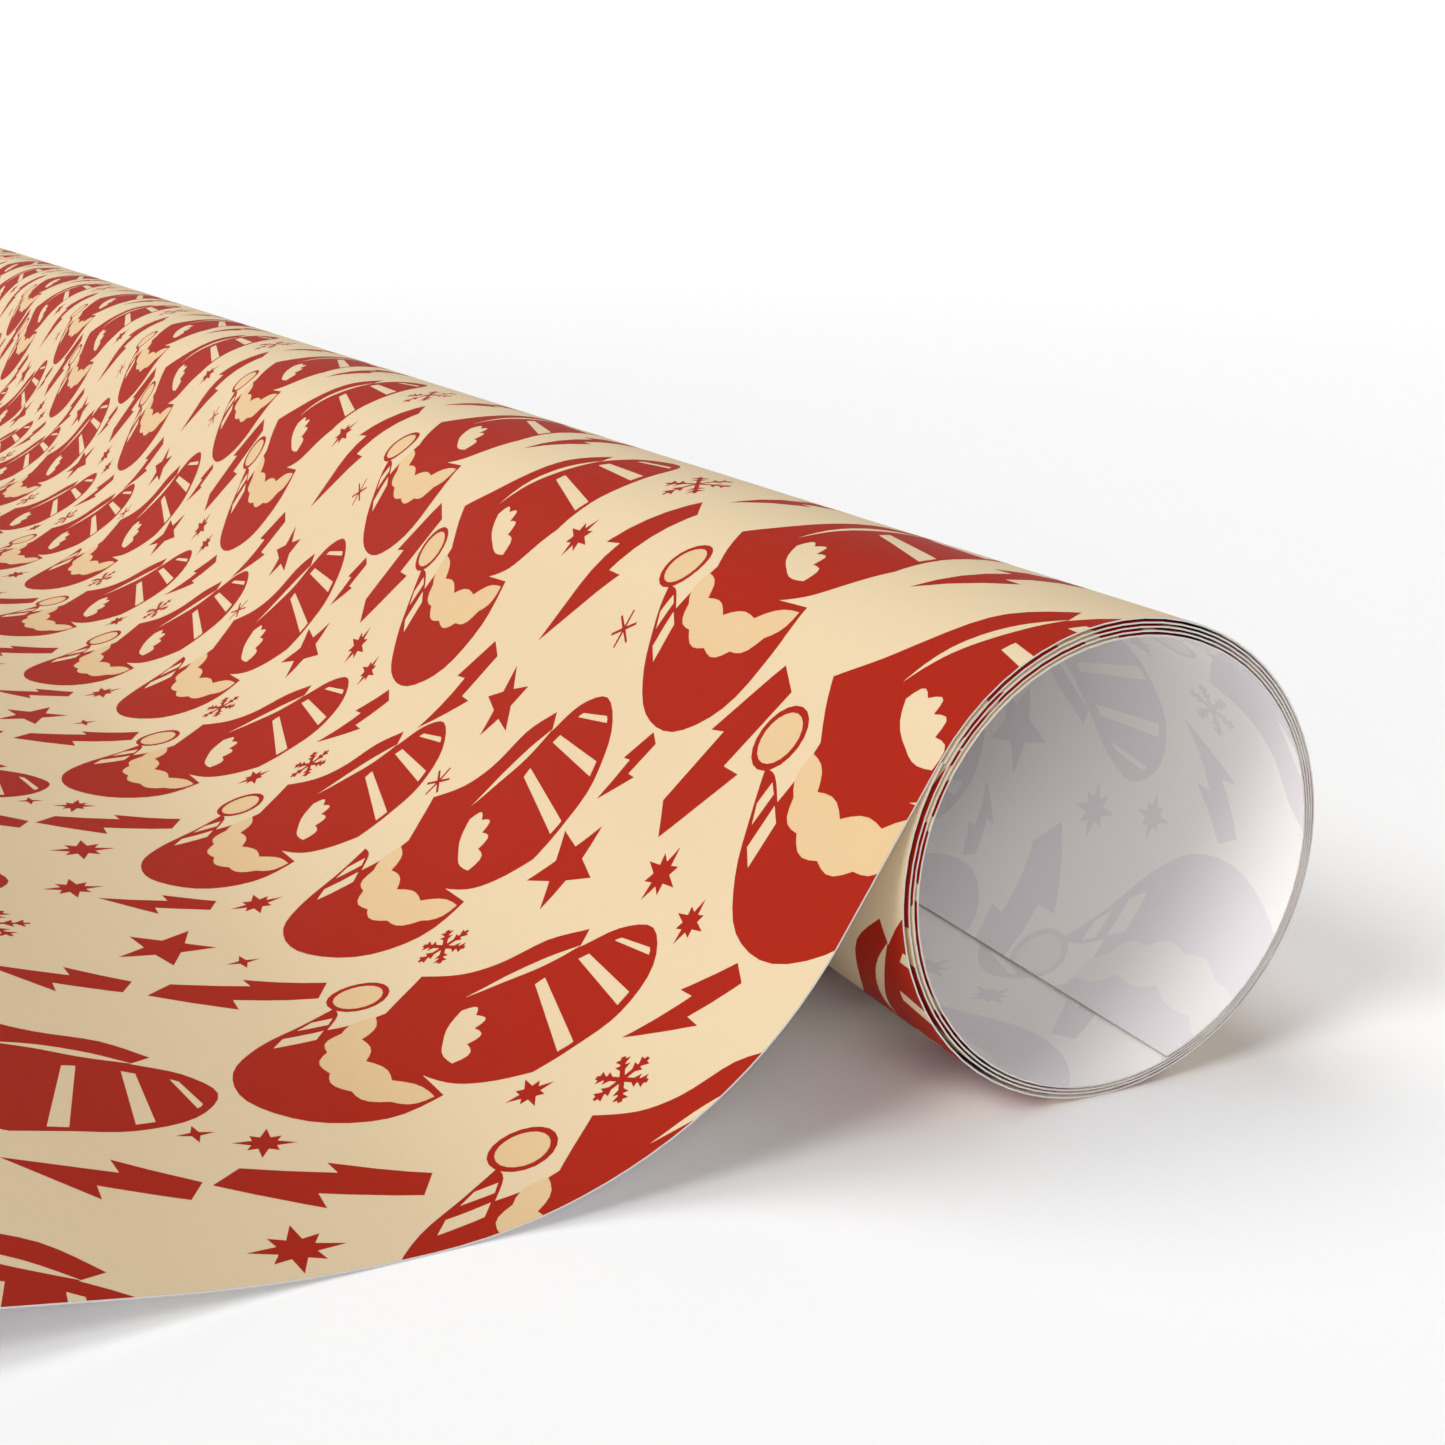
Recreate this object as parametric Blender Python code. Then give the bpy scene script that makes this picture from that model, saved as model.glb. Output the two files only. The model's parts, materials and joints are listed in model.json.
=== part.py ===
"""A sheet of printed gift wrap, part wound into a coreless roll and part drawn off it onto a surface.

The paper is one sheet. It is cut here, with a narrow gap at each cut, where one stretch of it moves
against the next: the coil turns inside the outer turn, the loose sheet draws away from the ripple, and
the free end lifts. The outer turn and the lead are cut further where they bend, into shallow stretches.
+Y runs along the roll, the sheet leaves it towards -X, and the paper rests on z = 0.
"""

from math import cos, hypot, pi, radians, sin

import bmesh
import bpy

# The sheet, flat
SHEET_WIDTH = 0.762
SHEET_LENGTH = 0.914
PAPER = 0.0001
CUT = 0.0003

# The roll: five layers at its right, the last of them the outer turn, which ends where the sheet leaves it
ROLL_RADIUS = 0.0205
TURN_PITCH = 0.00023
COIL_CLEARANCE = 0.00025
INNER_EDGE_ANGLE = radians(-72)
NIP_ANGLE = radians(147.5)
UNDERSIDE_ANGLE = radians(-90)
QUARTER_CUTS = tuple(radians(a) for a in (-135, -45, 45, 135))
COIL_WHOLE_TURNS = 3
FACET = radians(6)

# The lead: straight off the roll, then a sweep that lies down on the surface
LEAD_STRAIGHT = 0.0158
LEAD_TURN = NIP_ANGLE - radians(90)

# A low ripple in the loose sheet, the same on both sides of its crest
RIPPLE_TURN = radians(10.4)
RIPPLE_FOOT_RADIUS = 0.1087
RIPPLE_SLOPE = 0.0154
RIPPLE_CREST_RADIUS = 0.123

# The last of the sheet, which lifts
FREE_END_LENGTH = 0.066

FULL_TURN = 2 * pi
WRAP_RADIUS = ROLL_RADIUS - PAPER / 2
WRAP_START_ANGLE = NIP_ANGLE - FULL_TURN
COIL_END_ANGLE = NIP_ANGLE + COIL_WHOLE_TURNS * FULL_TURN
COIL_END_RADIUS = WRAP_RADIUS - TURN_PITCH - PAPER - COIL_CLEARANCE

# Colour, roughness and metallic value of each side of the paper
PRINTED = {"colour": (0.76, 0.61, 0.43, 1.0), "roughness": 0.42, "metallic": 0.0}
PRINTED_RED = {"colour": (0.42, 0.03, 0.02, 1.0), "roughness": 0.42, "metallic": 0.0}
PLAIN_BACK = {"colour": (0.83, 0.81, 0.82, 1.0), "roughness": 0.62, "metallic": 0.0}


def clear_scene():
    for thing in list(bpy.data.objects):
        bpy.data.objects.remove(thing)


def steps_between(start, end):
    """The two end angles and every whole facet between them, so that facets line up from turn to turn."""
    sliver = FACET / 20
    whole = [i * FACET for i in range(int(start // FACET), int(end // FACET) + 1)]
    return [start] + [a for a in whole if start + sliver < a < end - sliver] + [end]


def circle_points(start, end, radius_at):
    """Points (x, z) round the roll's axis, at x = 0, at the radius that radius_at gives for an angle."""
    return [
        (radius_at(a) * cos(a), ROLL_RADIUS + radius_at(a) * sin(a))
        for a in steps_between(start, end)
    ]


class Walk:
    """A line (x, z) across the roll in straight runs and arcs, handed over one stretch at a time."""

    def __init__(self, point, heading):
        self.points = [point]
        self.heading = heading
        self.length = 0.0

    def straight(self, length):
        x, z = self.points[-1]
        self.points.append((x + length * cos(self.heading), z + length * sin(self.heading)))
        self.length += length

    def arc(self, radius, turn):
        """Turns by this angle, positive to the left of the way it is going."""
        side = 1 if turn > 0 else -1
        x, z = self.points[-1]
        centre = (x - side * radius * sin(self.heading), z + side * radius * cos(self.heading))
        count = max(2, round(2 * abs(turn) / FACET))
        for i in range(1, count + 1):
            a = self.heading + turn * i / count
            self.points.append((centre[0] + side * radius * sin(a), centre[1] - side * radius * cos(a)))
        self.heading += turn
        self.length += radius * abs(turn)

    def take(self):
        """The stretch walked since the last take."""
        stretch = self.points
        self.points = stretch[-1:]
        return stretch


def wrap_radius(angle):
    """The outer turn starts one pitch lower, under the lead, and is full size where it stands."""
    below = max(0.0, (UNDERSIDE_ANGLE - angle) / (UNDERSIDE_ANGLE - WRAP_START_ANGLE))
    return WRAP_RADIUS - TURN_PITCH * below


def coil_radius(angle):
    """The coil's spiral, through the middle of the paper's thickness."""
    return COIL_END_RADIUS - TURN_PITCH * (COIL_END_ANGLE - angle) / FULL_TURN


def wound_length():
    outer_turn = (WRAP_RADIUS - TURN_PITCH / 4) * FULL_TURN
    coil_mean_radius = (coil_radius(INNER_EDGE_ANGLE) + COIL_END_RADIUS) / 2
    return outer_turn + coil_mean_radius * (COIL_END_ANGLE - INNER_EDGE_ANGLE)


def coil_stretches():
    """The turns inside the outer one: the short first one with the sheet's inner edge, then whole ones."""
    ends = [INNER_EDGE_ANGLE] + [NIP_ANGLE + i * FULL_TURN for i in range(COIL_WHOLE_TURNS + 1)]
    names = ("inner_edge_turn", "second_turn", "third_turn", "fourth_turn")
    return {
        name: circle_points(start, end, coil_radius)
        for name, start, end in zip(names, ends, ends[1:])
    }


def outer_turn_stretches():
    ends = (WRAP_START_ANGLE,) + QUARTER_CUTS
    names = ("outer_turn_left", "outer_turn_under", "outer_turn_right", "outer_turn_top")
    return {
        name: circle_points(start, end, wrap_radius)
        for name, start, end in zip(names, ends, ends[1:])
    }


def loose_stretches():
    """The rest of the sheet: from the top of the roll down to the surface, over the ripple and out flat."""
    last_of_wrap = circle_points(QUARTER_CUTS[-1], NIP_ANGLE, wrap_radius)
    walk = Walk(last_of_wrap[-1], NIP_ANGLE + pi / 2)
    walk.straight(LEAD_STRAIGHT)
    drop_left = walk.points[-1][1] - PAPER / 2
    sweep_radius = drop_left / (1 - cos(LEAD_TURN))
    line = {"lead_off_roll": last_of_wrap + walk.take()[1:]}
    for name in ("lead_sweep_upper", "lead_sweep_lower"):
        walk.arc(sweep_radius, -LEAD_TURN / 2)
        line[name] = walk.take()

    walk.arc(RIPPLE_FOOT_RADIUS, -RIPPLE_TURN)
    walk.straight(RIPPLE_SLOPE)
    walk.arc(RIPPLE_CREST_RADIUS, 2 * RIPPLE_TURN)
    walk.straight(RIPPLE_SLOPE)
    walk.arc(RIPPLE_FOOT_RADIUS, -RIPPLE_TURN)
    line["ripple"] = walk.take()

    walk.straight(SHEET_LENGTH - wound_length() - walk.length - FREE_END_LENGTH)
    line["loose_sheet"] = walk.take()
    walk.straight(FREE_END_LENGTH)
    line["free_end"] = walk.take()
    return line


def moved_towards(end, other, distance):
    run = hypot(other[0] - end[0], other[1] - end[1])
    return tuple(a + (b - a) * distance / run for a, b in zip(end, other))


def cut_ends(points):
    """The same line with half a cut's gap taken off each end."""
    first = moved_towards(points[0], points[1], CUT / 2)
    last = moved_towards(points[-1], points[-2], CUT / 2)
    return [first] + points[1:-1] + [last]


def paper_material(name, finish):
    material = bpy.data.materials.new(name)
    material.use_nodes = True
    shader = material.node_tree.nodes["Principled BSDF"]
    shader.inputs["Base Color"].default_value = finish["colour"]
    shader.inputs["Roughness"].default_value = finish["roughness"]
    shader.inputs["Metallic"].default_value = finish["metallic"]
    return material


def pivot(name, x, z):
    empty = bpy.data.objects.new(name, None)
    empty.location = (x, 0, z)
    empty.empty_display_size = ROLL_RADIUS
    bpy.context.scene.collection.objects.link(empty)
    return empty


def add_stretch(name, points, finish, holder):
    """One stretch of the sheet: its line swept from edge to edge and given the paper's thickness."""
    shape = bmesh.new()
    near = [shape.verts.new((x, -SHEET_WIDTH / 2, z)) for x, z in cut_ends(points)]
    edges = [shape.edges.new(pair) for pair in zip(near, near[1:])]
    swept = bmesh.ops.extrude_edge_only(shape, edges=edges)
    far = [v for v in swept["geom"] if isinstance(v, bmesh.types.BMVert)]
    bmesh.ops.translate(shape, verts=far, vec=(0, SHEET_WIDTH, 0))
    bmesh.ops.translate(shape, verts=shape.verts, vec=-holder.location)
    bmesh.ops.recalc_face_normals(shape, faces=shape.faces)
    mesh = bpy.data.meshes.new(name)
    shape.to_mesh(mesh)
    shape.free()
    mesh.shade_smooth()
    mesh.set_sharp_from_angle(angle=radians(30))
    mesh.materials.append(paper_material(name, finish))
    paper = bpy.data.objects.new(name, mesh)
    paper.parent = holder
    bpy.context.scene.collection.objects.link(paper)
    thickness = paper.modifiers.new("paper_thickness", "SOLIDIFY")
    thickness.thickness = PAPER
    thickness.offset = 0
    thickness.use_even_offset = True


def build():
    clear_scene()
    coil = coil_stretches()
    resting = outer_turn_stretches() | loose_stretches()

    # The origin goes to the middle of the whole object's box, so the roll's axis is this far from it.
    sheet_end = cut_ends(resting["free_end"])[-1][0]
    roll_x = -(sheet_end + ROLL_RADIUS) / 2
    roll_axis = pivot("roll_axis", roll_x, ROLL_RADIUS)
    lift_axis = pivot("lift_axis", roll_x + resting["free_end"][0][0], PAPER / 2)
    ground = pivot("ground", 0, 0)

    for name, line in (coil | resting).items():
        placed = [(roll_x + x, z) for x, z in line]
        holder = roll_axis if name in coil else lift_axis if name == "free_end" else ground
        bare_inside = name == "inner_edge_turn"
        lies_flat = name in ("ripple", "loose_sheet")
        finish = PLAIN_BACK if bare_inside else PRINTED if lies_flat else PRINTED_RED
        add_stretch(name, placed, finish, holder)
        print(name, "from", placed[0], "to", placed[-1])


build()
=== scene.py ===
"""The looks of a sheet of printed gift wrap, part wound into a roll and part drawn off it onto a surface.

The sheet is one line across the roll, swept along Y, and it is laid out flat before it is bent. The print
is cut into that flat layout, so each ink is its own faces with its own material, sharp at any size and
from any side. A flat layout holds (u, v) in millimetres: u from the near end, v along the paper from its
inner edge. Everything else is in metres, in the frame.
"""

import json
from bisect import bisect_right
from math import ceil, cos, floor, pi, radians, sin, sqrt

import bpy
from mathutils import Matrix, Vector
from mathutils.geometry import delaunay_2d_cdt


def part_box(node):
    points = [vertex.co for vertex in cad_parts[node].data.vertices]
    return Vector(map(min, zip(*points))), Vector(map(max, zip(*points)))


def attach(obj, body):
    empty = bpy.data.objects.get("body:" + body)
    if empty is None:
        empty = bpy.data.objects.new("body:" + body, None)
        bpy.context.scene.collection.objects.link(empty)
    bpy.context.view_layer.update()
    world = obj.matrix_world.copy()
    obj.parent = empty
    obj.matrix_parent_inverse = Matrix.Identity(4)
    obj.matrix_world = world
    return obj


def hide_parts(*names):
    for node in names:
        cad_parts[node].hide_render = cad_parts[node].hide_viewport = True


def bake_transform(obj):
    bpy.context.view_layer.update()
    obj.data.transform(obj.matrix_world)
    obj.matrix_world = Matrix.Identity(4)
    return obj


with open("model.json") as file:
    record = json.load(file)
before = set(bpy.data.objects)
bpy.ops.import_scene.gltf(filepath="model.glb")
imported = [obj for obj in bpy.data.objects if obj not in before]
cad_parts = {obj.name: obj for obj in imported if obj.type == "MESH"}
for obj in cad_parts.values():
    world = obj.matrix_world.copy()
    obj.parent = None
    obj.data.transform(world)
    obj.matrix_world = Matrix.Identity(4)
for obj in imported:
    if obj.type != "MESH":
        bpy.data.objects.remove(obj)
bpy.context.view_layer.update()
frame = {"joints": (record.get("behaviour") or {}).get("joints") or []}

MM = 0.001
FULL_TURN = 2 * pi

# The frame's own places
JOINTS = {joint["name"]: joint for joint in frame["joints"]}
ROLL_X, _, ROLL_RADIUS = JOINTS["roll_spin"]["pos_m"]
LIFT_X = JOINTS["end_lift"]["pos_m"][0]
NEAR_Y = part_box("loose_sheet")[0].y
FAR_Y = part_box("loose_sheet")[1].y
SHEET_END_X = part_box("free_end")[0].x

# The sheet's width in the flat layout
FLAT_WIDTH = (FAR_Y - NEAR_Y) / MM

# The roll: the outer turn swells a little towards the nip to clear its own start, and the coil is inside it
PAPER = 0.00014
TURN_PITCH = 0.00033
SLIDING_GAP = 0.00006
# How much further each turn stands out of the near end than the one outside it
TELESCOPE = 0.0001
INNER_EDGE_ANGLE = radians(-72)
NIP_ANGLE = radians(147.5)
SWELL_ANGLE = radians(25)
COIL_WHOLE_TURNS = 3
COIL_TURNS = (NIP_ANGLE - INNER_EDGE_ANGLE) / FULL_TURN + COIL_WHOLE_TURNS
OUTER_RADIUS = ROLL_RADIUS - PAPER / 2
NIP_RADIUS = OUTER_RADIUS + PAPER + SLIDING_GAP
COIL_END_RADIUS = OUTER_RADIUS - PAPER - SLIDING_GAP
INNER_EDGE_RADIUS = COIL_END_RADIUS - TURN_PITCH * COIL_TURNS

# The lead and the ripple, as in the CAD
LEAD_STRAIGHT = 0.0158
LEAD_TURN = NIP_ANGLE - radians(90)
RIPPLE_TURN = radians(10.4)
RIPPLE_FOOT_RADIUS = 0.1087
RIPPLE_SLOPE = 0.0154
RIPPLE_CREST_RADIUS = 0.123

# Where the pieces meet, and how far past the lift axis the end's bend reaches
BEND_REACH = 0.013
SEAM_X = LIFT_X + BEND_REACH

# The widest turn that one row of faces makes, and how deep the print goes into the coil's hidden turns
ROLL_FACET = FULL_TURN / 64
SWEEP_FACET = radians(3)
RIPPLE_FACET = radians(2)
PRINT_DEPTH = 9.0

# In the flat layout, the shortest row of faces at a piece's end, and how close together points become one
SHORTEST_ROW = 0.05
MERGE_DISTANCE = 1e-5
# How far short of its end a piece's last points stay, because the line steps outwards where the coil ends
END_MARGIN = 1e-7

# The paper's surface
SHEEN = 0.06
ROUGHNESS_DRIFT = 0.06
DRIFT_SCALE = 45
FIBRE_SCALE = 1500
FIBRE_DEPTH = 0.00004

# The floor's half width, and how far it lies under the paper
FLOOR_HALF = 25.0
FLOOR_DROP = 0.00002
# The two distances between which the floor turns white, and how strongly it glows from there on
WHITE_FROM = 0.35
WHITE_BY = 1.1
WHITE_GLOW = 0.08


# ---- the sheet's line ----


class Line:
    """The line of the sheet, one stretch after another, by the length of paper along it."""

    def __init__(self):
        self.starts = []
        self.stretches = []
        self.length = 0.0
        self.facets = []

    def add(self, length, place, facets):
        """place gives (x, z, heading) at a distance into the stretch, which bends in this many facets."""
        self.starts.append(self.length)
        self.stretches.append(place)
        self.facets += [self.length + length * i / facets for i in range(facets)]
        self.length += length

    def at(self, distance):
        i = max(0, bisect_right(self.starts, distance) - 1)
        return self.stretches[i](distance - self.starts[i])

    def end(self):
        return self.at(self.length)

    def spiral(self, start, turn, radius, end_radius):
        """Round the roll's axis from this angle, by this turn, while the radius grows evenly."""
        growth = (end_radius - radius) / turn

        def place(distance):
            turned = distance / radius
            if growth:
                turned = (sqrt(radius**2 + 2 * growth * distance) - radius) / growth
            reach = radius + growth * turned
            angle = start + turned
            return ROLL_X + reach * cos(angle), ROLL_RADIUS + reach * sin(angle), angle + pi / 2

        self.add((radius + end_radius) / 2 * turn, place, ceil(turn / ROLL_FACET))

    def straight(self, length, facets=1):
        x, z, heading = self.end()

        def place(distance):
            return x + distance * cos(heading), z + distance * sin(heading), heading

        self.add(length, place, facets)

    def arc(self, radius, turn, facet):
        """Turns by this angle, positive to the left of the way it is going."""
        x, z, heading = self.end()
        side = 1 if turn > 0 else -1
        centre_x = x - side * radius * sin(heading)
        centre_z = z + side * radius * cos(heading)

        def place(distance):
            angle = heading + side * distance / radius
            return centre_x + side * radius * sin(angle), centre_z - side * radius * cos(angle), angle

        self.add(radius * abs(turn), place, ceil(abs(turn) / facet))


def sheet_line():
    """The whole line, and the distances along it at which its parts begin and end."""
    line = Line()
    marks = {"inner_edge": 0.0}
    line.spiral(INNER_EDGE_ANGLE, FULL_TURN, INNER_EDGE_RADIUS, INNER_EDGE_RADIUS + TURN_PITCH)
    marks["inner_turn_end"] = line.length
    rest = (COIL_TURNS - 1) * FULL_TURN
    line.spiral(INNER_EDGE_ANGLE + FULL_TURN, rest, INNER_EDGE_RADIUS + TURN_PITCH, COIL_END_RADIUS)
    marks["coil_end"] = line.length

    start = NIP_ANGLE - FULL_TURN
    line.spiral(start, SWELL_ANGLE - start, OUTER_RADIUS, OUTER_RADIUS)
    line.spiral(SWELL_ANGLE, NIP_ANGLE - SWELL_ANGLE, OUTER_RADIUS, NIP_RADIUS)
    marks["nip"] = line.length
    line.straight(LEAD_STRAIGHT, facets=2)
    drop_left = line.end()[1] - PAPER / 2
    line.arc(drop_left / (1 - cos(LEAD_TURN)), -LEAD_TURN, SWEEP_FACET)
    marks["lead_end"] = line.length

    line.arc(RIPPLE_FOOT_RADIUS, -RIPPLE_TURN, RIPPLE_FACET)
    line.straight(RIPPLE_SLOPE)
    line.arc(RIPPLE_CREST_RADIUS, 2 * RIPPLE_TURN, RIPPLE_FACET)
    line.straight(RIPPLE_SLOPE)
    line.arc(RIPPLE_FOOT_RADIUS, -RIPPLE_TURN, RIPPLE_FACET)
    line.straight(line.end()[0] - SEAM_X, facets=8)
    marks["seam"] = line.length
    line.straight(2 * BEND_REACH, facets=12)
    line.straight(line.end()[0] - SHEET_END_X)
    marks["sheet_end"] = line.length
    return line, marks


# ---- outlines for the print ----


def curve(a, b, c, d, t):
    """A smooth curve's value this share of the way from b to c, with a before them and d after."""
    bend = 2 * a - 5 * b + 4 * c - d
    twist = 3 * b - a - 3 * c + d
    return 0.5 * (2 * b + (c - a) * t + bend * t**2 + twist * t**3)


def smooth(points, corners, steps=4):
    """A closed curve through the points, rounded everywhere but at these corners."""
    outline = []
    count = len(points)
    for i in range(count):
        before, here, there, after = (points[(i + k) % count] for k in (-1, 0, 1, 2))
        if i in corners:
            before = here
        if (i + 1) % count in corners:
            after = there
        for step in range(steps):
            t = step / steps
            outline.append(tuple(curve(*values, t) for values in zip(before, here, there, after)))
    return outline


def along(points, share):
    """The point this share of the way along an open line, counted in its own points."""
    place = min(max(share, 0.0), 1.0) * (len(points) - 1)
    i = min(int(place), len(points) - 2)
    return tuple(a + (b - a) * (place - i) for a, b in zip(points[i], points[i + 1]))


def stripe(left, right, start, end, steps=3):
    """A stripe from one line to another, between two shares of the way along them."""
    shares = [start + (end - start) * i / steps for i in range(steps + 1)]
    return [along(left, s) for s in shares] + [along(right, s) for s in reversed(shares)]


def fluffy(points, height, steps=5):
    """An open line whose every run bulges to its right, like fur or snow."""
    outline = []
    for (x0, y0), (x1, y1) in zip(points, points[1:]):
        run = sqrt((x1 - x0) ** 2 + (y1 - y0) ** 2)
        for step in range(steps):
            t = step / steps
            rise = height * sin(pi * t) / run
            outline.append((x0 + (x1 - x0) * t + (y1 - y0) * rise, y0 + (y1 - y0) * t - (x1 - x0) * rise))
    return outline


def disc(x, y, radius, steps=20):
    angles = [FULL_TURN * i / steps for i in range(steps)]
    return [(x + radius * cos(a), y + radius * sin(a)) for a in angles]


# ---- motifs: lists of (ink, outline), in millimetres round their own middle ----

CREAM, RED, PEACH = range(3)


def star(points, radius, turn=0.0, uneven=0.0, waist=0.42):
    """A star whose waist is a share of its radius, with every other point shorter by a share if uneven."""
    outline = []
    for i in range(2 * points):
        reach = radius * (waist if i % 2 else 1 - uneven * (i % 4 == 2))
        angle = pi / 2 + turn + pi * i / points
        outline.append((reach * cos(angle), reach * sin(angle)))
    return [(RED, outline)]


def snowflake(radius, width=0.5, branched=True):
    """Six thin arms, each with two pairs of side branches if branched."""
    outline = []
    half = width / 2
    for i in range(6):
        angle = pi / 6 + pi * i / 3
        out = [(width * 0.87, half)]
        if branched:
            for share in (0.42, 0.68):
                out += [
                    (radius * share, half),
                    (radius * (share + 0.2), radius * 0.26),
                    (radius * (share + 0.12) + half, half),
                ]
        out.append((radius, width * 0.4))
        arm = [(reach, -side) for reach, side in out] + out[::-1]
        outline += [
            (reach * cos(angle) - side * sin(angle), reach * sin(angle) + side * cos(angle))
            for reach, side in arm
        ]
    return [(RED, outline)]


def bolt(width, height, blunt=False):
    """A zigzag flash: a blunt upper bar and a lower one, pointed or blunt, joined by a step."""
    upper = [(-0.5, 0.4), (-0.2, 0.5), (0.36, 0.07)]
    lower = [(0.16, 0.09), (0.5, -0.34), (0.26, -0.5)] if blunt else [(0.1, 0.09), (0.5, -0.5)]
    step = [(-0.38, -0.05), (-0.12, -0.05)]
    return [(RED, [(x * width, y * height) for x, y in upper + lower + step])]


# A winter cap: a striped crown with a lap of its knit, over the tip that hangs behind it, its band of fur, a
# drift of snow on it, and a pompom on the end of the tip
CROWN = [
    (-13.6, 2.6), (-13.4, 7.4), (-13.2, 12.6), (-10.8, 18.0), (-6.0, 20.8), (-1.4, 18.6), (1.2, 14.6),
    (2.6, 16.6), (6.6, 12.8), (8.6, 7.4), (10.8, 3.8), (14.4, 0.6), (10.8, -3.6), (7.4, -6.4),
    (2.0, -7.2), (-4.0, -6.4), (-8.8, -4.4), (-11.4, -1.6),
]
CROWN_CORNERS = (0, 6, 7, 11)
LAP = [(1.3, 14.8), (3.8, 11.4), (5.4, 7.2), (5.8, 2.6), (4.6, 6.6), (2.8, 10.6)]
STRIPE_LEFT = [(-12.4, 2.6), (-12.6, 7.0), (-12.3, 11.4), (-11.1, 15.6), (-8.6, 18.8), (-6.4, 20.0)]
STRIPE_RIGHT = [(0.6, 6.6), (0.7, 9.6), (0.1, 12.6), (-1.4, 15.4), (-2.6, 17.6), (-4.4, 19.4)]
STRIPES = ((0.14, 0.22), (0.47, 0.55), (0.78, 0.85))
TIP = [
    (-10.9, -5.4), (-12.4, -11.2), (-10.4, -17.8), (-4.6, -22.2), (2.2, -22.0), (7.8, -18.2), (11.8, -12.8),
    (14.2, -9.0), (12.2, -9.2), (9.4, -11.0), (9.2, -8.0), (9.6, -4.4), (0.0, -6.0),
]
TIP_CORNERS = (0, 7, 9, 11)
TIP_STRIPES = (
    [(7.6, -12.6), (9.4, -11.4), (9.0, -15.6), (7.0, -17.0)],
    [(10.6, -10.6), (11.9, -9.8), (11.9, -12.0), (10.5, -13.8)],
)
FUR_BELOW = [
    (-10.6, -6.2), (-9.2, -10.0), (-5.4, -12.6), (-0.6, -13.4), (4.2, -12.4), (7.8, -10.0), (9.4, -6.0),
]
FUR_ABOVE = [(9.4, -6.0), (5.4, -8.6), (0.4, -9.6), (-5.0, -8.6), (-10.6, -6.2)]
POMPOM = (15.2, -6.2)
POMPOM_RADIUS = 3.3
POMPOM_RIM = 0.7
SNOW_ABOVE = [(3.6, 1.4), (1.4, 2.2), (-0.9, 1.2), (-3.2, -0.4), (-5.6, -2.8)]
SNOW_BELOW = [(-5.6, -2.8), (-1.0, -2.2), (3.6, 1.4)]


def cap(lean=0.0, size=1.0, pompom=True):
    """The cap, leaning to its left by this share of its height."""
    shapes = [(RED, smooth(TIP, TIP_CORNERS))]
    if pompom:
        shapes.append((RED, disc(*POMPOM, POMPOM_RADIUS)))
        shapes.append((PEACH, disc(*POMPOM, POMPOM_RADIUS - POMPOM_RIM)))
    shapes += [(CREAM, outline) for outline in TIP_STRIPES]
    shapes.append((PEACH, fluffy(FUR_BELOW, 0.9) + fluffy(FUR_ABOVE, 0.7)))
    shapes.append((RED, smooth(CROWN, CROWN_CORNERS)))
    shapes.append((CREAM, smooth(LAP, (0, 3))))
    shapes += [(CREAM, stripe(STRIPE_LEFT, STRIPE_RIGHT, start, end)) for start, end in STRIPES]
    shapes.append((CREAM, fluffy(SNOW_ABOVE, 1.1) + fluffy(SNOW_BELOW, 0.5)))
    return [(ink, [((x - lean * y) * size, y * size) for x, y in outline]) for ink, outline in shapes]


# ---- the printed tile ----

TILE = 96.0
# How far down a tile the nip is
NIP_IN_TILE = 31.3

# Each motif, and where its middle is from the tile's near corner: along the roll, then down the sheet
MOTIFS = (
    (cap(0.15, 0.95), 40.4, 18.8),
    (cap(0.25), 5.2, 29.4),
    (cap(0.1, 0.95, pompom=False), 62.0, 60.0),
    (cap(0.0, 0.88), 92.0, 70.6),
    (cap(0.12, 0.88), 31.2, 73.6),
    (bolt(9.0, 14.0), 18.0, 10.6),
    (bolt(10.6, 19.0, blunt=True), 29.2, 39.2),
    (bolt(5.0, 8.4), 43.4, 45.0),
    (bolt(11.0, 23.0), 70.2, 27.4),
    (bolt(8.6, 13.0), 60.4, 7.8),
    (bolt(8.6, 13.4), 87.6, 48.0),
    (bolt(7.2, 10.8), 11.6, 58.6),
    (bolt(9.6, 16.0, blunt=True), 13.0, 91.0),
    (bolt(9.4, 16.0, blunt=True), 52.4, 88.6),
    (star(5, 5.2, 0.2), 43.0, 56.0),
    (star(5, 4.6, -0.4), 75.6, 46.6),
    (star(5, 5.0, 0.35), 66.8, 92.6),
    (star(8, 3.0, 0.1, 0.25), 28.0, 51.2),
    (star(8, 2.4, 0.0, 0.3), 19.6, 53.0),
    (star(8, 3.0, 0.2, 0.25), 80.9, 26.5),
    (star(8, 3.2, 0.0, 0.25), 87.0, 2.4),
    (star(8, 2.6, 0.3, 0.3), 21.5, 93.6),
    (star(8, 2.8, 0.1, 0.3), 74.6, 81.6),
    (snowflake(2.8), 10.4, 66.4),
    (snowflake(4.4), 76.2, 12.6),
    (snowflake(2.8), 46.8, 69.6),
    (snowflake(2.2, 0.4, branched=False), 58.6, 33.4),
    (snowflake(2.0, 0.4, branched=False), 77.6, 57.8),
    (bolt(7.6, 11.4), 79.6, 90.8),
    (star(8, 2.2, 0.2, 0.3), 16.4, 72.6),
    (star(8, 3.6, 0.1, 0.25), 4.2, 95.4),
    (star(4, 1.6, waist=0.3), 24.6, 2.4),
    (star(4, 1.7, waist=0.3), 60.2, 86.4),
)


def counter_clockwise(points):
    twice_area = sum(a[0] * b[1] - b[0] * a[1] for a, b in zip(points, points[1:] + points[:1]))
    return points if twice_area > 0 else points[::-1]


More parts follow.
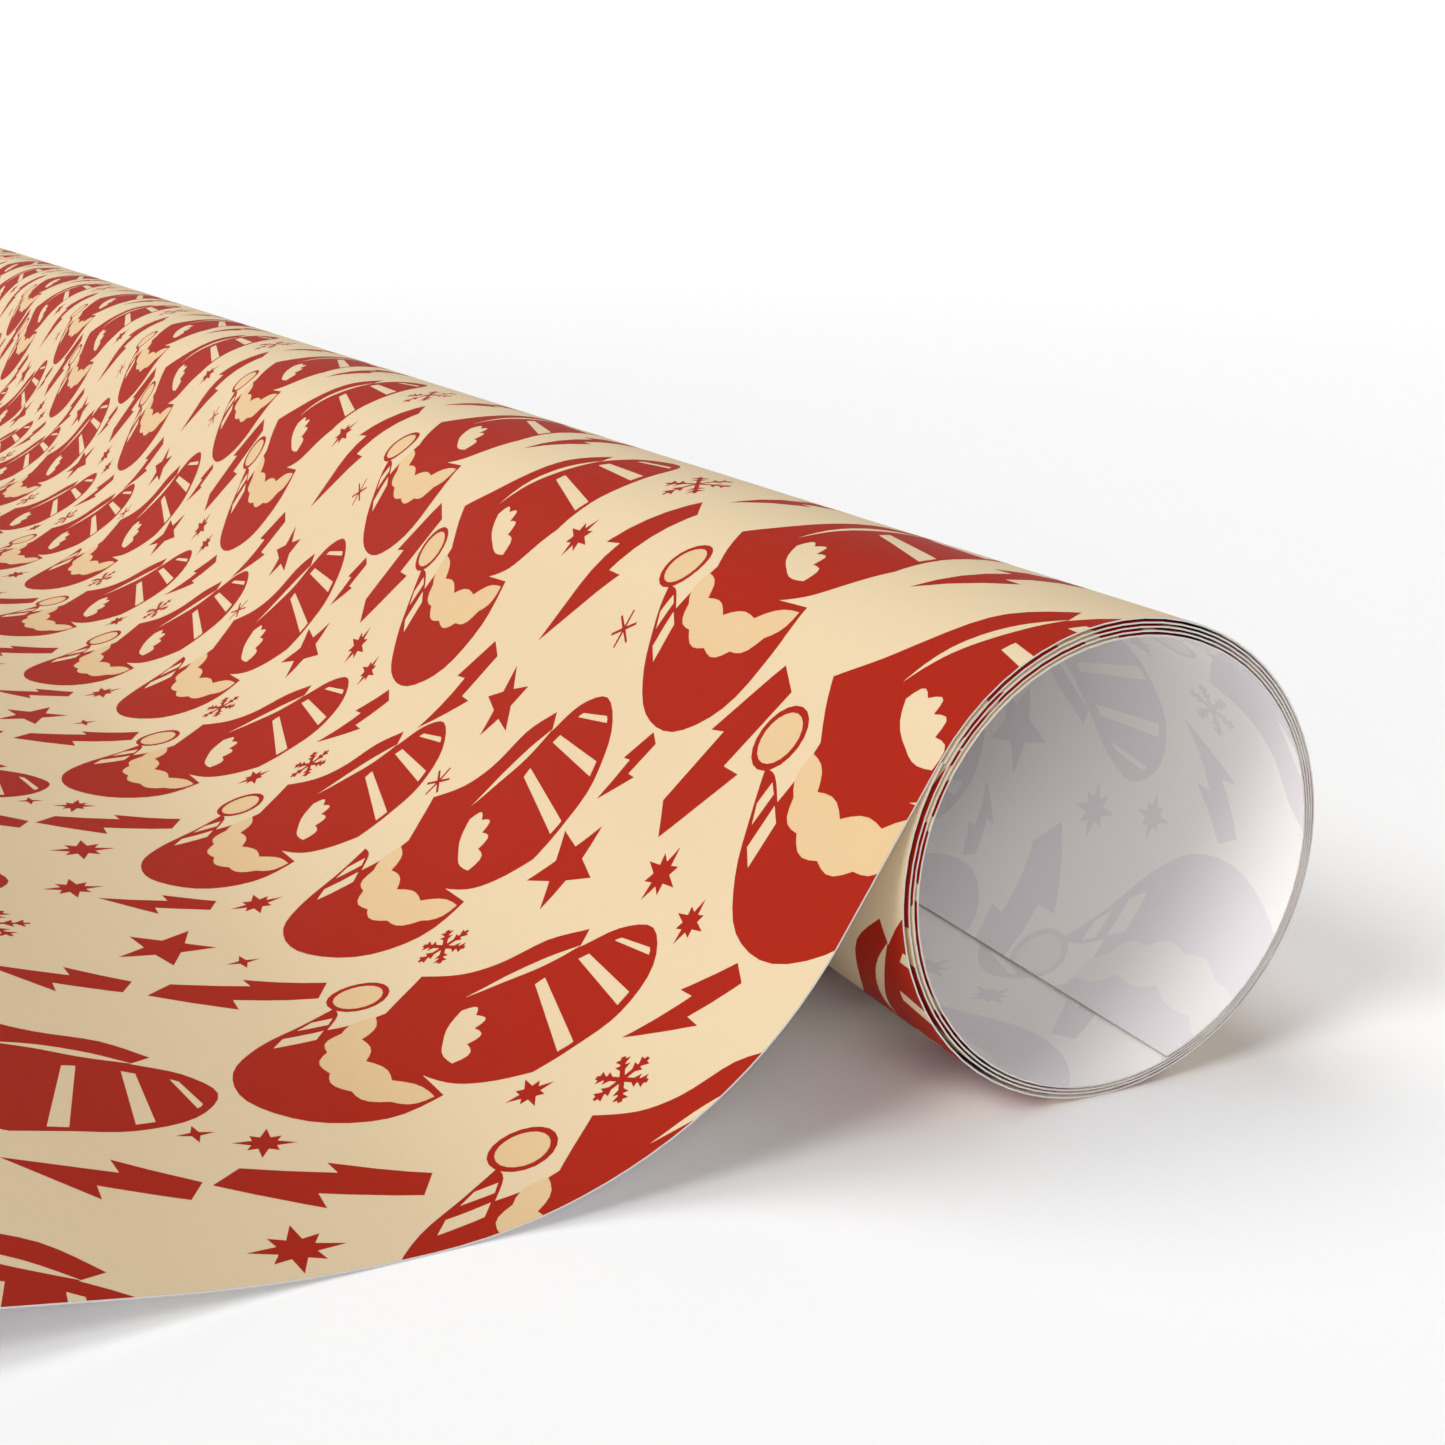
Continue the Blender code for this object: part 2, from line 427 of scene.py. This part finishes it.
def print_between(start, end, nip):
    """Every (ink, outline) of the print that touches the paper between two distances, in the flat layout."""
    found = []
    first_row = nip - NIP_IN_TILE
    rows = range(floor((start - first_row) / TILE) - 1, ceil((end - first_row) / TILE) + 1)
    columns = range(-1, ceil(FLAT_WIDTH / TILE) + 1)
    for row in rows:
        for column in columns:
            for shapes, across, down in MOTIFS:
                u = column * TILE + across
                v = first_row + row * TILE + down
                placed = [(ink, [(u + x, v - y) for x, y in outline]) for ink, outline in shapes]
                us = [x for _, outline in placed for x, _ in outline]
                vs = [y for _, outline in placed for _, y in outline]
                if max(us) > 0 and min(us) < FLAT_WIDTH and max(vs) > start and min(vs) < end:
                    found += [(ink, counter_clockwise(outline)) for ink, outline in placed]
    return found


# ---- the paper's mesh ----

BACK, BACK_UNDER_RED, BACK_UNDER_PEACH, CUT_EDGE = range(3, 7)
BACK_OF = {CREAM: BACK, RED: BACK_UNDER_RED, PEACH: BACK_UNDER_PEACH}


def lay_out(start, end, facets, shapes):
    """The flat layout between two distances as (points, triangles, the ink of each triangle)."""
    bends = [v for v in facets if start + SHORTEST_ROW < v < end - SHORTEST_ROW]
    points = []
    edges = []
    faces = []
    for v in [start] + bends + [end]:
        edges.append((len(points), len(points) + 1))
        points += [(0.0, v), (FLAT_WIDTH, v)]
    edges += [(0, len(points) - 2), (1, len(points) - 1)]
    for _, outline in shapes:
        faces.append(list(range(len(points), len(points) + len(outline))))
        points += outline
    vectors = [Vector(p) for p in points]
    # 0 asks for triangles over the whole layout, and True for the outlines that each of them lies in.
    laid_out = delaunay_2d_cdt(vectors, edges, faces, 0, MERGE_DISTANCE, True)
    flat, _, triangles, _, _, sources = laid_out
    kept = []
    inks = []
    for triangle, source in zip(triangles, sources):
        middle = sum((flat[i] for i in triangle), Vector((0, 0))) / 3
        if 0 < middle.x < FLAT_WIDTH and start < middle.y < end:
            kept.append(triangle)
            inks.append(shapes[max(source)][0] if source else CREAM)
    used = sorted({i for triangle in kept for i in triangle})
    number = {old: new for new, old in enumerate(used)}
    return [tuple(flat[i]) for i in used], [[number[i] for i in t] for t in kept], inks


def paper_piece(name, line, start, end, nip, shapes, materials):
    """A stretch of the sheet as a closed thin mesh: printed side, plain side and cut edges."""
    facets = [v / MM for v in line.facets]
    flat, triangles, inks = lay_out(start / MM, end / MM, facets, shapes)
    half = PAPER / 2
    last = end - END_MARGIN
    front = []
    back = []
    normals = []
    for u, v in flat:
        x, z, heading = line.at(min(v * MM, last))
        normal = Vector((sin(heading), 0, -cos(heading)))
        turns_inside = max(0.0, nip - v * MM) / (FULL_TURN * OUTER_RADIUS)
        middle = Vector((x, NEAR_Y + u * MM - TELESCOPE * turns_inside, z))
        front.append(middle + normal * half)
        back.append(middle - normal * half)
        normals.append(normal)

    count = len(flat)
    runs = {(a, b) for t in triangles for a, b in zip(t, t[1:] + t[:1])}
    rim = [(a, a + count, b + count, b) for a, b in sorted(runs) if (b, a) not in runs]
    faces = triangles + [[i + count for i in reversed(t)] for t in triangles] + rim
    corner_normals = [normals[i] for t in triangles for i in t]
    corner_normals += [-normals[i] for t in triangles for i in reversed(t)]
    for a, _, _, b in rim:
        outward = (front[b] - front[a]).cross(normals[a]).normalized()
        corner_normals += [outward] * 4

    mesh = bpy.data.meshes.new(name)
    mesh.from_pydata(front + back, [], faces)
    for material in materials:
        mesh.materials.append(material)
    indices = inks + [BACK_OF[ink] for ink in inks] + [CUT_EDGE] * len(rim)
    mesh.polygons.foreach_set("material_index", indices)
    mesh.shade_smooth()
    mesh.normals_split_custom_set(corner_normals)
    piece = bpy.data.objects.new(name, mesh)
    bpy.context.scene.collection.objects.link(piece)
    print(name, len(faces), "faces")
    return piece


# ---- materials ----


def srgb(red, green, blue):
    """A colour as a screen's 0 to 255 numbers, in linear light."""
    shares = [c / 255 for c in (red, green, blue)]
    return [c / 12.92 if c <= 0.04045 else ((c + 0.055) / 1.055) ** 2.4 for c in shares] + [1.0]


def paper_material(name, colour, roughness, grain):
    """Paper of one ink: its roughness drifts across the sheet, and its fibres make a fine grain."""
    material = bpy.data.materials.new(name)
    material.use_nodes = True
    nodes, links = material.node_tree.nodes, material.node_tree.links
    shader = nodes["Principled BSDF"]
    shader.inputs["Base Color"].default_value = colour
    shader.inputs["Specular IOR Level"].default_value = SHEEN

    place = nodes.new("ShaderNodeTexCoord")
    drift = nodes.new("ShaderNodeTexNoise")
    drift.inputs["Scale"].default_value = DRIFT_SCALE
    drift.inputs["Detail"].default_value = 3
    links.new(place.outputs["Object"], drift.inputs["Vector"])
    spread = nodes.new("ShaderNodeMapRange")
    spread.inputs["To Min"].default_value = roughness - ROUGHNESS_DRIFT
    spread.inputs["To Max"].default_value = roughness + ROUGHNESS_DRIFT
    links.new(drift.outputs["Fac"], spread.inputs["Value"])
    links.new(spread.outputs["Result"], shader.inputs["Roughness"])

    fibres = nodes.new("ShaderNodeTexNoise")
    fibres.inputs["Scale"].default_value = FIBRE_SCALE
    fibres.inputs["Detail"].default_value = 4
    fibres.inputs["Roughness"].default_value = 0.65
    links.new(place.outputs["Object"], fibres.inputs["Vector"])
    bump = nodes.new("ShaderNodeBump")
    bump.inputs["Strength"].default_value = grain
    bump.inputs["Distance"].default_value = FIBRE_DEPTH
    links.new(fibres.outputs["Fac"], bump.inputs["Height"])
    links.new(bump.outputs["Normal"], shader.inputs["Normal"])
    return material


def paper_materials():
    """The materials in the order of the ink numbers."""
    return [
        paper_material("cream_ink", srgb(217, 196, 161), 0.62, 0.5),
        paper_material("red_ink", srgb(159, 33, 14), 0.56, 0.4),
        paper_material("peach_ink", srgb(215, 185, 141), 0.62, 0.5),
        paper_material("white_back", srgb(248, 245, 242), 0.7, 0.5),
        paper_material("white_back_over_red", srgb(237, 231, 234), 0.7, 0.5),
        paper_material("white_back_over_peach", srgb(244, 239, 237), 0.7, 0.5),
        paper_material("cut_edge", srgb(186, 184, 181), 0.7, 0.3),
    ]


# ---- the pieces ----


def near_both_ends(shapes):
    """Only the shapes that touch the parts of a hidden turn that show at the roll's ends."""
    return [
        (ink, outline) for ink, outline in shapes
        if min(u for u, _ in outline) < PRINT_DEPTH or max(u for u, _ in outline) > FLAT_WIDTH - PRINT_DEPTH
    ]


def build_paper():
    line, marks = sheet_line()
    materials = paper_materials()

    def piece(name, start, end, hidden=False):
        shapes = print_between(marks[start] / MM, marks[end] / MM, marks["nip"] / MM)
        if hidden:
            shapes = near_both_ends(shapes)
        return paper_piece(name, line, marks[start], marks[end], marks["nip"], shapes, materials)

    inner_turn = piece("inner_turn_paper", "inner_edge", "inner_turn_end")
    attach(inner_turn, "coil")
    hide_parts("inner_edge_turn", "second_turn")

    coil = piece("coil_paper", "inner_turn_end", "coil_end", hidden=True)
    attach(coil, "coil")
    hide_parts("third_turn", "fourth_turn")

    outer = piece("outer_turn_paper", "coil_end", "lead_end")
    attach(outer, "lead")
    quarters = ["outer_turn_left", "outer_turn_under", "outer_turn_right", "outer_turn_top"]
    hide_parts(*quarters, "lead_off_roll", "lead_sweep_upper", "lead_sweep_lower")

    loose = piece("loose_paper", "lead_end", "seam")
    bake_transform(loose)
    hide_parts("ripple", "loose_sheet")

    free_end = piece("free_end_paper", "seam", "sheet_end")
    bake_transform(free_end)
    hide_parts("free_end")


# ---- the stage ----


def add_floor():
    """A pale floor that runs out into the white of the room."""
    half = FLOOR_HALF
    corners = [(-half, -half, 0), (half, -half, 0), (half, half, 0), (-half, half, 0)]
    mesh = bpy.data.meshes.new("floor")
    mesh.from_pydata(corners, [], [(0, 1, 2, 3)])
    material = bpy.data.materials.new("pale_floor")
    material.use_nodes = True
    shader = material.node_tree.nodes["Principled BSDF"]
    shader.inputs["Base Color"].default_value = (0.94, 0.94, 0.94, 1)
    shader.inputs["Roughness"].default_value = 0.9
    shader.inputs["Specular IOR Level"].default_value = 0.0
    shader.inputs["Emission Color"].default_value = (1, 1, 1, 1)
    nodes, links = material.node_tree.nodes, material.node_tree.links
    place = nodes.new("ShaderNodeTexCoord")
    distance = nodes.new("ShaderNodeVectorMath")
    distance.operation = "LENGTH"
    links.new(place.outputs["Object"], distance.inputs[0])
    glow = nodes.new("ShaderNodeMapRange")
    glow.inputs["From Min"].default_value = WHITE_FROM
    glow.inputs["From Max"].default_value = WHITE_BY
    glow.inputs["To Max"].default_value = WHITE_GLOW
    links.new(distance.outputs["Value"], glow.inputs["Value"])
    links.new(glow.outputs["Result"], shader.inputs["Emission Strength"])
    mesh.materials.append(material)
    ground = bpy.data.objects.new("floor", mesh)
    ground.location.z = -FLOOR_DROP
    bpy.context.scene.collection.objects.link(ground)


def add_sun(name, direction, strength, spread):
    """A soft light that travels this way everywhere, as from a wide lamp far off."""
    lamp = bpy.data.lights.new(name, "SUN")
    lamp.energy = strength
    lamp.angle = spread
    sun = bpy.data.objects.new(name, lamp)
    sun.rotation_mode = "QUATERNION"
    sun.rotation_quaternion = Vector(direction).to_track_quat("-Z", "Y")
    bpy.context.scene.collection.objects.link(sun)


def add_light():
    """A white room, brightest round the horizon, and soft lights from the left, above and the near end."""
    world = bpy.data.worlds.new("white_room")
    world.use_nodes = True
    nodes, links = world.node_tree.nodes, world.node_tree.links
    place = nodes.new("ShaderNodeTexCoord")
    split = nodes.new("ShaderNodeSeparateXYZ")
    links.new(place.outputs["Generated"], split.inputs["Vector"])
    fall = nodes.new("ShaderNodeMapRange")
    fall.inputs["From Min"].default_value = 0.2
    fall.inputs["From Max"].default_value = 0.5
    fall.inputs["To Min"].default_value = 1.03
    fall.inputs["To Max"].default_value = 0.06
    links.new(split.outputs["Z"], fall.inputs["Value"])
    links.new(fall.outputs["Result"], nodes["Background"].inputs["Strength"])
    nodes["Background"].inputs["Color"].default_value = (1, 1, 1, 1)
    bpy.context.scene.world = world
    add_sun("key", (0.75, 0.2, -0.66), 1.5, radians(24))
    add_sun("back_light", (0.1, -0.35, -0.93), 1.3, radians(40))
    add_sun("fill", (0.28, 0.93, -0.22), 1.7, radians(50))


def add_camera():
    """At the photograph's place and angle, worked out from the near end of the roll."""
    near_end = Vector((ROLL_X, NEAR_Y, ROLL_RADIUS))
    lens = bpy.data.cameras.new("camera")
    lens.lens = 50
    lens.sensor_width = 36
    lens.clip_start = 0.01
    lens.clip_end = 100
    camera = bpy.data.objects.new("camera", lens)
    camera.location = near_end + Vector((-4.711, -6.091, 2.713)) * ROLL_RADIUS
    camera.rotation_mode = "QUATERNION"
    camera.rotation_quaternion = Vector((0.4206, 0.8657, -0.2715)).to_track_quat("-Z", "Y")
    bpy.context.scene.collection.objects.link(camera)
    bpy.context.scene.camera = camera


build_paper()
add_floor()
add_light()
add_camera()
bpy.context.scene.view_settings.view_transform = "Standard"
